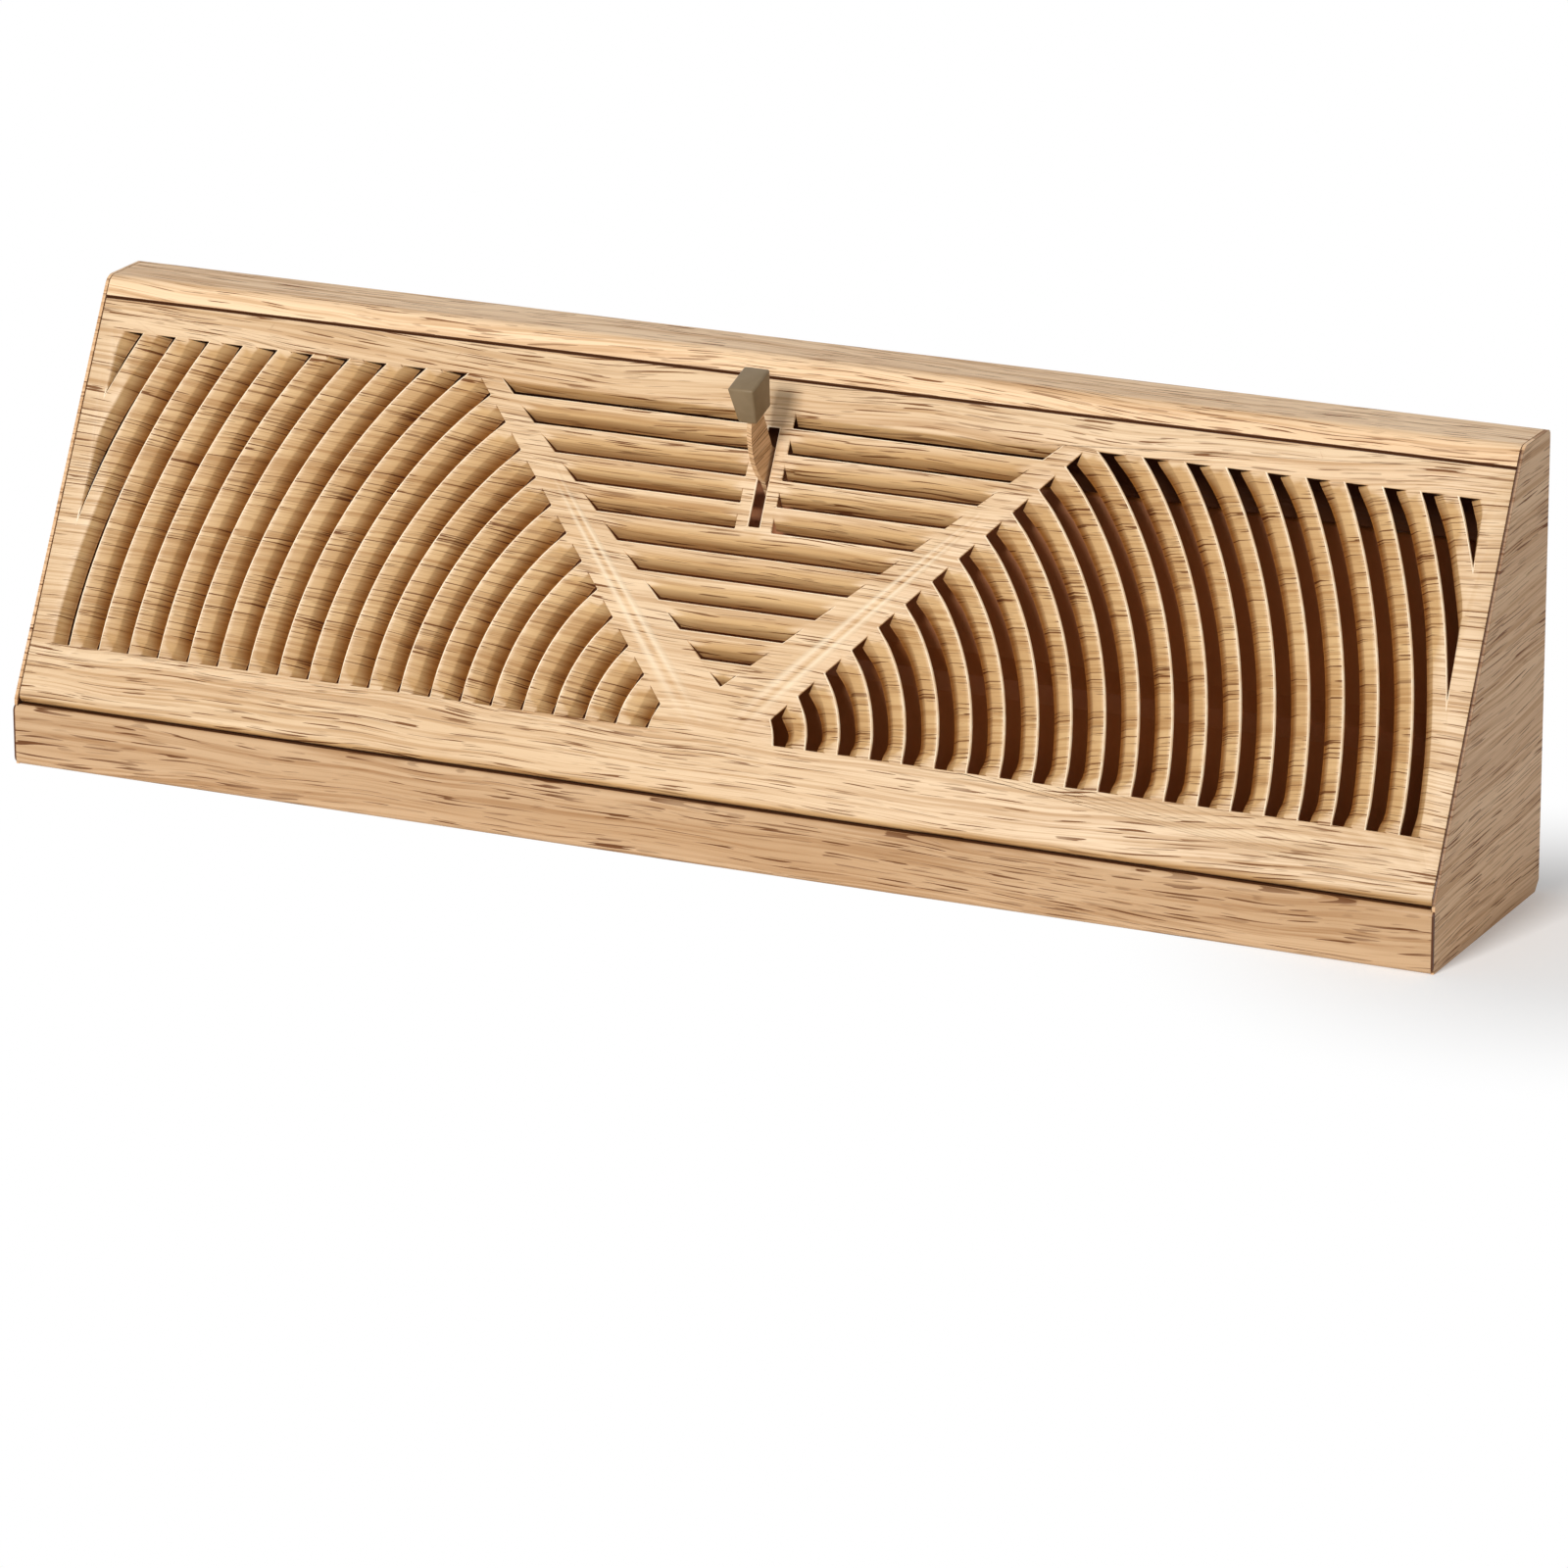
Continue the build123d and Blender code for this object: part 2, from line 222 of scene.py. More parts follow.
class Finish:
    """A material in the making: its nodes, and the few patterns that the finishes share."""

    def __init__(self, tree):
        self.tree = tree
        self.tree.nodes.clear()

    def node(self, kind, settings=None, inputs=None, output=0):
        made = self.tree.nodes.new(kind)
        for name, setting in (settings or {}).items():
            setattr(made, name, setting)
        for name, given in (inputs or {}).items():
            if isinstance(given, Value):
                self.tree.links.new(given.socket, made.inputs[name])
            else:
                made.inputs[name].default_value = given
        if made.outputs:
            return Value(self, made.outputs[output])

    def place(self):
        return self.node("ShaderNodeTexCoord", output="Object")

    def distance_along(self, place, direction):
        """How far a place lies along a direction, in millimetres."""
        settings = {"operation": "DOT_PRODUCT"}
        return self.node("ShaderNodeVectorMath", settings, {0: place, 1: direction / MM}, "Value")

    def noise(self, u, v, w, detail=0.0, roughness=0.5):
        spot = self.node("ShaderNodeCombineXYZ", {}, {0: u, 1: v, 2: w})
        inputs = {"Vector": spot, "Scale": 1.0, "Detail": detail, "Roughness": roughness}
        return self.node("ShaderNodeTexNoise", {"noise_dimensions": "3D"}, inputs)

    def rise(self, value, start, end, low=0.0, high=1.0):
        """A smooth step from low to high while the value goes from start to end."""
        settings = {"interpolation_type": "SMOOTHSTEP"}
        return self.node("ShaderNodeMapRange", settings, {0: value, 1: start, 2: end, 3: low, 4: high})

    def larger(self, first, second):
        """The larger of two values."""
        return self.node("ShaderNodeMath", {"operation": "MAXIMUM"}, {0: first, 1: second})

    def size(self, value):
        """The size of a value, whatever its sign."""
        return self.node("ShaderNodeMath", {"operation": "ABSOLUTE"}, {0: value})

    def mix(self, share, first, second, blend="MIX"):
        settings = {"data_type": "RGBA", "blend_type": blend}
        return self.node("ShaderNodeMix", settings, {0: share, 6: first, 7: second}, 2)

    def bump(self, depth_mm, value):
        return self.node("ShaderNodeBump", {}, {"Strength": 1.0, "Distance": depth_mm * MM, "Height": value})

    def surface(self, **inputs):
        named = {name.replace("_", " "): given for name, given in inputs.items()}
        shader = self.node("ShaderNodeBsdfPrincipled", {}, named)
        self.node("ShaderNodeOutputMaterial", {}, {"Surface": shader})


def new_material(name):
    material = bpy.data.materials.new(name)
    material.use_nodes = True
    return material, Finish(material.node_tree)


# Colours of the finishes
OAK_LIGHT = (0.89, 0.655, 0.415, 1)
OAK_MID = (0.70, 0.455, 0.245, 1)
OAK_STREAK = (0.52, 0.29, 0.125, 1)
OAK_PORE = (0.20, 0.075, 0.02, 1)
# Pale colour of the painted highlight on the panel's lips and on a bead's ridges
PAINTED_HIGHLIGHT = (0.96, 0.78, 0.55, 1)
# Painted shade of the louvres: bars darkened a little, flanks more, as they lie deeper behind the face
BAR_PAINTED_SHADE = (0.79, 0.69, 0.51, 1)
FLANK_PAINTED_SHADE = (0.58, 0.37, 0.18, 1)
# Painted shade over whole pieces, and painted light on the top rail
RAIL_PAINTED_SHADE = (0.776, 0.70, 0.635, 1)
CAP_PAINTED_SHADE = (1.0, 0.89, 0.80, 1)
TOP_PAINTED_LIGHT = (1.12, 1.09, 1.07, 1)
LEVER_PAINTED_SHADE = (0.93, 0.84, 0.74, 1)
# Dark brown of the washers' specks, and the painted shade on the frame's inner faces and seams
INSIDE_SHADE_AND_SPECK_BROWN = (0.10, 0.033, 0.010, 1)
BLADE_BROWN = (0.42, 0.138, 0.027, 1)
BLADE_SHADE = (0.37, 0.120, 0.023, 1)
KNOB_TAUPE = (0.222, 0.152, 0.078, 1)
KNOB_DUST = (0.245, 0.172, 0.092, 1)
ZINC = (0.55, 0.55, 0.53, 1)
FIBRE = (0.16, 0.09, 0.05, 1)

# The range of a noise over which a cloudy patch comes in
CLOUDY = (0.35, 0.65)

# Features of the oak print: length along the grain, width across it, step of the seed, detail and roughness
SLOW_WAVE = (130, 55, 0.0, 0.0, 0.5)
QUICK_WAVE = (26, 9, 3.1, 0.0, 0.5)
BANDS = (160, 7, 5.7, 2.0, 0.5)
STREAKS = (90, 1.1, 9.2, 2.0, 0.55)
THREADS = (40, 0.45, 12.5, 2.0, 0.6)
CROWDS = (60, 6, 17.3, 0.0, 0.5)
LONG_PORES = (15, 0.42, 21.9, 0.0, 0.5)
SHORT_PORES = (7, 0.42, 27.4, 0.0, 0.5)
STRENGTHS = (20, 2.5, 33.8, 0.0, 0.5)

# How far the grain strays, and how much of each tone the print takes
wander = 13
tremble = 1.6
tone_share = 0.6
streak_share = 0.62
thread_share = 0.58
fleck_share = 0.4
# Shares of the painted shade in a bead's valley and of the painted highlight on its ridges
valley_shade_share = 0.25
ridge_highlight_share = 0.62
pore_relief = 0.03


def oak_print(name, along, across, seed, painted_light_tint=None, inside=None, painted_pressings=None):
    """Oak print on steel, with its grain along one direction and its pores spaced along another, and any
    painted light.
    """
    material, finish = new_material(name)
    place = finish.place()
    u = finish.distance_along(place, along)
    v = finish.distance_along(place, across)

    def pattern(feature, row):
        length, width, step, detail, roughness = feature
        return finish.noise(u / length, row / width, seed + step, detail, roughness)

    # The grain wanders slowly, and each line of it trembles a little
    line = v + (pattern(SLOW_WAVE, v) - 0.5) * wander + (pattern(QUICK_WAVE, v) - 0.5) * tremble

    tone = finish.rise(pattern(BANDS, line), 0.32, 0.70)
    streak = finish.rise(pattern(STREAKS, line), 0.46, 0.68) * streak_share
    thread = finish.rise(pattern(THREADS, line), 0.50, 0.68) * thread_share

    # Pores show where a pattern stands above a bar, which is lower where they crowd
    bar = finish.rise(pattern(CROWDS, line), 0.30, 0.70, low=0.70, high=0.625)
    dash = finish.rise(pattern(LONG_PORES, line) - bar, 0.0, 0.035)
    fleck = finish.rise(pattern(SHORT_PORES, line) - bar, 0.03, 0.10) * fleck_share
    strength = finish.rise(pattern(STRENGTHS, line), 0.30, 0.64, low=0.5, high=0.98)
    pore = finish.larger(dash, fleck) * strength

    colour = finish.mix(tone * tone_share, OAK_LIGHT, OAK_MID)
    colour = finish.mix(thread, colour, OAK_STREAK)
    colour = finish.mix(streak, colour, OAK_STREAK)
    colour = finish.mix(pore, colour, OAK_PORE)
    # Painted shade and highlights on the panel's pressings
    if painted_pressings:
        colour = painted_pressings(finish, place, colour)
    # Painted light over the whole piece: darker for the bottom rail, end caps and lever, lighter for the top
    # rail
    if painted_light_tint:
        colour = finish.mix(1.0, colour, painted_light_tint, "MULTIPLY")
    # Painted shade on inner faces and at seams
    if inside:
        colour = finish.mix(inside(finish, place), colour, INSIDE_SHADE_AND_SPECK_BROWN)
    finish.surface(
        Base_Color=colour,
        Roughness=0.44 + 0.12 * streak + 0.2 * pore,
        Normal=finish.bump(pore_relief, 1 - pore),
        Specular_IOR_Level=0.25,
    )
    return material


def past_all(finish, tests):
    """One where each value is past its start by most of the sheet's thickness, and nought elsewhere."""
    skin = 0.62
    fade = 0.08
    share = 1
    for value, start in tests:
        share = share * finish.rise(value, start + skin, start + skin + fade)
    return share


def depth_below_face(finish, place):
    """How far a place lies behind the plane of the panel's face."""
    return on_face(0, 0).dot(out_of_face) / MM - finish.distance_along(place, out_of_face)


def height_on_face(finish, place):
    """How far a place lies up the slope from the panel's foot."""
    return finish.distance_along(place, up_slope) - on_face(0, 0).dot(up_slope) / MM


def housing_inside_shade(finish, place):
    """One on the inner faces of the frame, which take a painted shade, and nought on its outer faces."""
    x = finish.distance_along(place, X_WAY)
    y = finish.distance_along(place, Y_WAY)
    z = finish.distance_along(place, Z_WAY)
    tests = [(depth_below_face(finish, place), 0), (y, front), (-1 * y, -wall), (z, 0), (-1 * z, -height)]
    return past_all(finish, tests + [(-1 * finish.size(x), -half_length)])


def cap_inside_shade(finish, place):
    """One on the inner faces of an end cap, a share on the right one's cut edge, where shade is painted, and
    nought outside.
    """
    x = finish.distance_along(place, X_WAY)
    at_face = finish.rise(depth_below_face(finish, place), 0.3, 0.15)
    shade = finish.rise(x, half_length - 0.4, half_length - 0.6, low=0.6, high=0.95)
    on_right = finish.rise(x, 0, 1)
    return finish.larger(housing_inside_shade(finish, place), at_face * shade * on_right)


def top_inside_shade(finish, place):
    """One on the inner faces of the top rail and on its lip below the seam, where shade is painted, and
    nought outside.
    """
    below_seam = finish.rise(height_on_face(finish, place), seam_along + 0.08, seam_along - 0.02)
    near_face = finish.rise(depth_below_face(finish, place), 6.0, 5.0)
    return finish.larger(housing_inside_shade(finish, place), below_seam * near_face)


def rail_inside_shade(finish, place):
    """One on the inner faces of the bottom rail and its ledge, for painted shade, and at its cut ends, for a
    painted shadow at the seam.
    """
    ledge = 0.9
    x = finish.distance_along(place, X_WAY)
    y = finish.distance_along(place, Y_WAY)
    z = finish.distance_along(place, Z_WAY)
    seam_shadow = finish.rise(finish.size(x), rail_high.x - 0.55, rail_high.x - 0.4)
    return finish.larger(past_all(finish, [(y, front + ledge), (z, 0)]), seam_shadow)


def across_bead(finish, place):
    """How far a place lies from the middle of a bead, in half widths, and a share that fades at its ends."""
    beside = finish.size(finish.distance_along(place, X_WAY)) - bead_foot.x
    above = height_on_face(finish, place) - bead_foot.y
    share = (beside * bead_way.x + above * bead_way.y) / bead_length
    half_width = bead_foot_width / 2 + share * ((bead_head_width - bead_foot_width) / 2)
    off = finish.size((above * bead_way.x - beside * bead_way.y) / half_width)
    return off, finish.rise(share, 0.0, 0.3) * finish.rise(share, 1.0, 0.7)


def pressing_shade_and_highlight(finish, place, colour):
    """Painted shade that deepens with depth on the louvres and in a bead's valley, and a painted highlight
    on its ridges.
    """
    depth = depth_below_face(finish, place)
    off, ends = across_bead(finish, place)
    valley = finish.rise(off, 0.30, 0.0) * ends * valley_shade_share
    ridge = finish.rise(off, 0.05, 0.5) * finish.rise(off, 1.1, 0.5) * ends * ridge_highlight_share
    colour = finish.mix(finish.rise(depth, 0.03, 0.6) + valley, colour, BAR_PAINTED_SHADE, "MULTIPLY")
    colour = finish.mix(finish.rise(depth, 1.0, 4.6), colour, FLANK_PAINTED_SHADE, "MULTIPLY")
    return finish.mix(ridge, colour, PAINTED_HIGHLIGHT)


def painted_lip_highlight():
    """The cut edges of the panel, paler with a painted highlight in patches."""
    patch = 3
    material, finish = new_material("painted_lip_highlight")
    place = finish.place()
    u = finish.distance_along(place, X_WAY)
    v = finish.distance_along(place, up_slope)
    highlight_patches = finish.noise(u / patch, v / patch, 2.0, detail=2.0)
    colour = finish.mix(finish.rise(highlight_patches, *CLOUDY), PAINTED_HIGHLIGHT, OAK_LIGHT)
    finish.surface(Base_Color=colour, Roughness=0.38)
    return material


def dark_paint():
    """Dark brown paint on the damper, a little uneven."""
    cloud_length, cloud_height, grit_size = 40, 25, 0.6
    material, finish = new_material("dark_paint")
    place = finish.place()
    x = finish.distance_along(place, X_WAY)
    z = finish.distance_along(place, Z_WAY)
    cloud = finish.rise(finish.noise(x / cloud_length, z / cloud_height, 4.0, detail=3.0), *CLOUDY)
    grit = finish.noise(x / grit_size, z / grit_size, 6.0, detail=2.0)
    colour = finish.mix(cloud, BLADE_BROWN, BLADE_SHADE)
    finish.surface(Base_Color=colour, Roughness=0.42 + 0.2 * grit, Normal=finish.bump(0.02, grit))
    return material


def moulded_taupe():
    """Taupe moulded plastic with a fine satin skin."""
    cloud_size, grit_size = 4, 0.25
    material, finish = new_material("moulded_taupe")
    place = finish.place()
    x = finish.distance_along(place, X_WAY)
    y = finish.distance_along(place, Y_WAY)
    z = finish.distance_along(place, Z_WAY)
    cloud = finish.rise(finish.noise(x / cloud_size, y / cloud_size, z / cloud_size, detail=3.0), *CLOUDY)
    grit = finish.noise(x / grit_size, y / grit_size, z / grit_size, detail=2.0)
    colour = finish.mix(cloud, KNOB_TAUPE, KNOB_DUST)
    finish.surface(
        Base_Color=colour,
        Roughness=0.34 + 0.16 * grit,
        Normal=finish.bump(0.008, grit),
        Specular_IOR_Level=0.3,
    )
    return material


def zinc_plate():
    """Zinc-plated steel, lightly turned."""
    ring_pitch, ring_length = 0.15, 6
    material, finish = new_material("zinc_plate")
    place = finish.place()
    x = finish.distance_along(place, X_WAY)
    z = finish.distance_along(place, Z_WAY)
    rings = finish.noise(x / ring_pitch, z / ring_length, 1.0, detail=2.0)
    finish.surface(
        Base_Color=ZINC,
        Metallic=1.0,
        Roughness=0.28 + 0.25 * rings,
        Normal=finish.bump(0.01, rings),
    )
    return material


def pressed_fibre():
    """Brown fibre board of the washers."""
    speck_size = 0.4
    material, finish = new_material("pressed_fibre")
    place = finish.place()
    y = finish.distance_along(place, Y_WAY)
    z = finish.distance_along(place, Z_WAY)
    specks = finish.noise(y / speck_size, z / speck_size, 8.0, detail=3.0)
    colour = finish.mix(finish.rise(specks, 0.4, 0.65), FIBRE, INSIDE_SHADE_AND_SPECK_BROWN)
    finish.surface(Base_Color=colour, Roughness=0.8, Normal=finish.bump(0.03, specks))
    return material


class Fold:
    """The section of a louvre tab: a bend on from its bar, a steep flank and a flatter free edge."""

    steps = 6
    halvings = 40
    least_run = 1e-6
    end_slope = math.radians(25)
    steepest = math.radians(85)

    def __init__(self, run, drop, bar_slope, bend, foot_bend):
        self.run = run
        self.drop = drop
        self.bar_slope = bar_slope
        self.bend = bend
        self.foot_bend = foot_bend
        low, high = self.end_slope, self.steepest
        for _ in range(self.halvings):
            self.turn = (low + high) / 2
            if self.section()[-1][1] < drop:
                low = self.turn
            else:
                high = self.turn
        self.places = self.section()

    def section(self):
        """Points of the section: distance from the root, and depth."""
        top = []
        for step in range(self.steps + 1):
            angle = self.bar_slope + (self.turn - self.bar_slope) * step / self.steps
            run = self.bend * (math.sin(angle) - math.sin(self.bar_slope))
            drop = self.bend * (math.cos(self.bar_slope) - math.cos(angle))
            top.append((run, drop))
        foot = []
        for step in range(self.steps + 1):
            angle = self.turn + (self.end_slope - self.turn) * step / self.steps
            foot.append((math.sin(self.turn) - math.sin(angle), math.cos(angle) - math.cos(self.turn)))
        flank_run = self.run - top[-1][0] - self.foot_bend * foot[-1][0]
        flank_start = top[-1][0] + flank_run
        flank_depth = top[-1][1] + flank_run * math.tan(self.turn)
        return top + [(flank_start + self.foot_bend * x, flank_depth + self.foot_bend * y) for x, y in foot]

    def depth(self, distance):
        """How deep the tab lies at a distance from its root."""
        if distance <= 0:
            return 0.0
        for (near, shallow), (far, deep) in zip(self.places, self.places[1:]):
            if distance <= far:
                return shallow + (deep - shallow) * (distance - near) / max(far - near, self.least_run)
        return self.drop

    def stations(self):
        """Distances from the root at which the tab has points."""
        return [distance for distance, depth in self.places]


def soft_min(first, second, blend=1.2):
    """The smaller of two distances, with a soft change from one to the other."""
    near = max(blend - abs(first - second), 0) / blend
    return max(min(first, second) - near * near * blend / 4, 0)


arc_fold = Fold(arc_open - arc_gap, arc_drop - arc_bar_drop, arc_bar_slope, arc_bend, arc_foot_bend)
vee_fold = Fold(vee_open - vee_gap, vee_drop - vee_bar_drop, vee_bar_slope, vee_bend, vee_foot_bend)


def low_angle(radius):
    """Where an arc of the right field leaves the bottom border or the side border."""
    bottom = math.asin(arc_centre_drop / radius)
    side = math.acos(min(1.0, field_half / radius))
    return max(bottom, side)


def high_angle(radius):
    """Where an arc of the right field meets the leg of the V or the top border."""
    foot = Vector((leg_foot, arc_centre_drop))
    leg = Vector((leg_head - leg_foot, field_top - field_bottom))
    middle = foot.dot(leg)
    root = math.sqrt(middle**2 - leg.length_squared * (foot.length_squared - radius**2))
    share = (root - middle) / leg.length_squared
    meeting = foot + leg * share
    top = math.asin(min(1.0, arc_ceiling / radius))
    return min(math.atan2(meeting.y, meeting.x), top)


def from_side(spot):
    """How far a place lies from the side border, stretched because the sheet is steeper there."""
    return side_steepness * (field_half - abs(spot.x))


def smooth(value):
    """A smooth step from 0 to 1."""
    share = min(max(value, 0.0), 1.0)
    return share * share * (3 - 2 * share)


class ArcLouvre:
    """One opening of a side field, between the lip of its inner bar and the root of its tab."""

    def __init__(self, place, side):
        self.side = side
        self.lip = first_arc + arc_pitch * place
        self.root = self.lip + arc_open
        self.meets_side = field_half < self.lip
        self.last = place == arc_count - 1
        self.length = self.root * (high_angle(self.root) - low_angle(self.root))
        self.steps = max(least_steps, math.ceil(self.length / arc_step))
        self.shares = [step / self.steps for step in range(self.steps + 1)]

    def spot(self, radius, share, inset=0.0):
        """A place on the face, at a share of the way along an arc."""
        low = low_angle(radius) + inset / radius
        high = high_angle(radius) - inset / radius
        angle = low + (high - low) * share
        return Vector((self.side * radius * math.cos(angle), arc_centre + radius * math.sin(angle)))

    def bent(self, share):
        """How far the tab is bent, from its full depth at the middle to less near its ends."""
        high = head_lift * (1 - smooth(self.length * (1 - share) / head_lift_length))
        low = foot_lift * (1 - smooth(self.length * share / foot_lift_length))
        return 1 - max(high, 0 if self.meets_side else low)

    def sag(self, share):
        """How far the root lies below the face: the tilt of its bar, which fades at the borders."""
        if self.last:
            return 0.0
        border = field_half - arc_bar - abs(self.spot(self.root, share).x)
        fades = (border / side_sag_length, self.length * (1 - share) / head_sag_length)
        if not self.meets_side:
            fades += (self.length * share / foot_sag_length,)
        return arc_bar_drop * smooth(min(fades))

    def root_sags(self):
        return [self.sag(share) for share in self.shares]

    def reach(self, distance, share):
        """A distance from the root, stretched so that a less bent tab reaches closer to the lip."""
        bent = self.bent(share)
        if self.meets_side:
            border = from_side(self.spot(self.lip + arc_gap, share))
            bent = bent * arc_fold.depth(soft_min(arc_fold.run, border)) / arc_fold.drop
        return distance * (arc_open - arc_gap * bent) / arc_fold.run

    def end(self, share):
        """The edge of the opening at one end of the arc, between its root and its lip."""
        radii = [self.root - self.reach(distance, share) for distance in arc_fold.stations()[1:]]
        return [self.spot(radius, share) for radius in radii if radius > self.lip + least_gap]

    def outline(self):
        """The lanced opening, as a closed outline on the face."""
        root_arc = [self.spot(self.root, share) for share in self.shares]
        lip_arc = [self.spot(self.lip, share) for share in self.shares]
        return root_arc + self.end(1) + lip_arc[::-1] + self.end(0)[::-1]

    def tab(self):
        """Rows of points of the tab, from its root down to its free edge."""
        rows = []
        for distance in arc_fold.stations():
            row = []
            inset = 0.0 if self.meets_side else min(lance_gap, distance)
            for share in self.shares:
                spot = self.spot(self.root - self.reach(distance, share), share, inset)
                from_edge = distance
                if self.meets_side:
                    from_edge = soft_min(distance, from_side(spot))
                depth = self.sag(share) + arc_fold.depth(from_edge) * self.bent(share)
                row.append(on_face(spot.x, spot.y, -depth))
            rows.append(row)
        return rows


def leg_across(along):
    """Half the width of the V's triangle at a height on the slope."""
    return max(0.0, vee_head * (along - vee_tip) / (field_top - vee_tip))


class VeeLouvre:
    """One level opening of the V, or one side of it where the lever's column stands between."""

    def __init__(self, place, side):
        self.side = side
        self.root = field_top - vee_pitch * place
        self.lip = max(self.root - vee_open, vee_tip)
        self.split = place < column_louvres
        self.tilted = place > 0

    def ends(self, along, inset=0.0):
        outer = leg_across(along) - inset
        if not self.split:
            return -outer, outer
        inner = column_half + inset
        return (inner, outer) if self.side > 0 else (-outer, -inner)

    def row(self, along, inset=0.0):
        left, right = self.ends(along, inset)
        return [Vector((left + (right - left) * step / vee_steps, along)) for step in range(vee_steps + 1)]

    def outline(self):
        left, right = self.ends(self.lip)
        lip = [Vector((right, self.lip)), Vector((left, self.lip))]
        if right - left < lance_gap:
            lip = lip[:1]
        return self.row(self.root) + lip

    def root_sags(self):
        """How far the root lies below the face: the tilt of its bar, which fades at its ends."""
        left, right = self.ends(self.root)
        fades = [min(spot.x - left, right - spot.x) / vee_sag_length for spot in self.row(self.root)]
        return [vee_bar_drop * smooth(fade) if self.tilted else 0.0 for fade in fades]

    def tab(self):
        rows = []
        for distance in vee_fold.stations():
            spots = self.row(self.root - distance, min(lance_gap, distance))
            depths = [sag + vee_fold.depth(distance) for sag in self.root_sags()]
            rows.append([on_face(spot.x, spot.y, -depth) for spot, depth in zip(spots, depths)])
        return rows


def bead_grid():
    """Points over both beads, with their heights above the face."""
    across = Vector((-bead_way.y, bead_way.x))
    points = []
    for row in range(bead_rows + 1):
        share = row / bead_rows
        half_width = (bead_foot_width + (bead_head_width - bead_foot_width) * share) / 2
        ends = math.sin(math.pi * share) ** bead_end_power if 0 < row < bead_rows else 0.0
        for column in range(bead_columns + 1):
            place = 2 * column / bead_columns - 1
            spot = bead_foot.lerp(bead_head, share) + across * half_width * place
            valley = bead_valley * math.cos(math.pi * place / 2) ** 2
            ridge = math.sin(math.pi * abs(place)) ** 2 + valley
            for side in (1, -1):
                points.append((Vector((side * spot.x, spot.y)), bead_height * ends * ridge))
    return points


def is_open(x, along):
    """Whether a place on the face lies in a lanced opening or in the lever's slot."""
    if abs(x) < slot_width / 2 and slot_top - slot_length < along < slot_top:
        return True
    if not field_bottom < along < field_top:
        return False
    foot = leg_foot + (leg_head - leg_foot) * (along - field_bottom) / (field_top - field_bottom)
    if foot < abs(x) < field_half:
        past = math.hypot(x, along - arc_centre) - first_arc
        return 0 < past and past % arc_pitch < arc_open and past < arc_count * arc_pitch
    if abs(x) < leg_across(along):
        below = (field_top - along) % vee_pitch
        in_column = abs(x) < column_half and along > field_top - vee_pitch * (column_louvres - 1) - vee_open
        return below < vee_open and not in_column
    return False


def flat_sheet(mesh, louvres):
    """The face of the panel with its openings, beads and slot."""
    spots, edges = [], []
    all_triangles = 0

    def close_outline(outline):
        start = len(spots)
        spots.extend(outline)
        edges.extend((start + step, start + (step + 1) % len(outline)) for step in range(len(outline)))

    def close_box(half, low, high):
        close_outline([Vector(spot) for spot in ((-half, low), (half, low), (half, high), (-half, high))])

    close_box(inner_half, roll_start, panel_high)
    close_box(slot_width / 2, slot_top - slot_length, slot_top)
    heights = {}
    for louvre in louvres:
        for step, sag in enumerate(louvre.root_sags()):
            heights[len(spots) + step] = -sag
        close_outline(louvre.outline())
    for spot, rise in bead_grid():
        heights[len(spots)] = rise
        spots.append(spot)

    made, _, faces, origins, _, _ = delaunay_2d_cdt(spots, edges, [], all_triangles, mesh_tolerance)
    points = []
    for spot, came_from in zip(made, origins):
        rise = max((heights.get(origin, 0.0) for origin in came_from), default=0.0, key=abs)
        points.append(mesh.verts.new(on_face(spot.x, spot.y, rise)))
    for face in faces:
        middle = sum((made[corner] for corner in face), Vector((0, 0))) / len(face)
        if not is_open(middle.x, middle.y):
            mesh.faces.new([points[corner] for corner in face])


def grid(mesh, rows, flip):
    """Faces between rows of points."""
    lines = [[mesh.verts.new(point) for point in row] for row in rows]
    for upper, lower in zip(lines, lines[1:]):
        for step in range(len(upper) - 1):
            corners = [upper[step], upper[step + 1], lower[step + 1], lower[step]]
            mesh.faces.new(corners[::-1] if flip else corners)


def on_a_lip(spot):
    """Whether a place lies at the lip of a bar, which takes a painted highlight."""
    reach = 0.6
    foot = spot - Vector((0, front, rail_height))
    along = foot.dot(up_slope)
    if abs(foot.dot(out_of_face)) > sheet + reach:
        return False
    if abs(spot.x) < leg_across(along):
        return abs((field_top - along - vee_open + reach) % vee_pitch - reach) < reach
    return abs((math.hypot(spot.x, along - arc_centre) - first_arc + reach) % arc_pitch - reach) < reach


def bottom_roll():
    """Rows of points of the rolled bottom edge and the flange that stands on the rail's ledge."""
    steps = 10
    section = []
    for step in range(steps + 1):
        turn = roll_turn * step / steps
        section.append((roll_start - panel_roll * math.sin(turn), panel_roll * (math.cos(turn) - 1)))
    along, out = section[-1]
    rest = panel_flange - roll_tangent
    section.append((along + rest * slope_sin, out - rest * slope_cos))
    return [[on_face(-inner_half, *place), on_face(inner_half, *place)] for place in section]


def solid_mesh(piece, sharp_angle):
    """The piece's mesh with its modifiers made real, no empty faces, and sharp edges past an angle."""
    bpy.context.view_layer.update()
    shaped = piece.evaluated_get(bpy.context.evaluated_depsgraph_get())
    mesh = bpy.data.meshes.new_from_object(shaped)
    cleaned = bmesh.new()
    cleaned.from_mesh(mesh)
    bmesh.ops.remove_doubles(cleaned, verts=cleaned.verts, dist=same_point * MM)
    cleaned.to_mesh(mesh)
    cleaned.free()
    piece.modifiers.clear()
    piece.data = mesh
    mesh.shade_smooth()
    mesh.set_sharp_from_angle(angle=sharp_angle)


def new_piece(name, mesh, *materials):
    data = bpy.data.meshes.new(name)
    mesh.to_mesh(data)
    mesh.free()
    for material in materials:
        data.materials.append(material)
    piece = bpy.data.objects.new(name, data)
    bpy.context.scene.collection.objects.link(piece)
    return piece


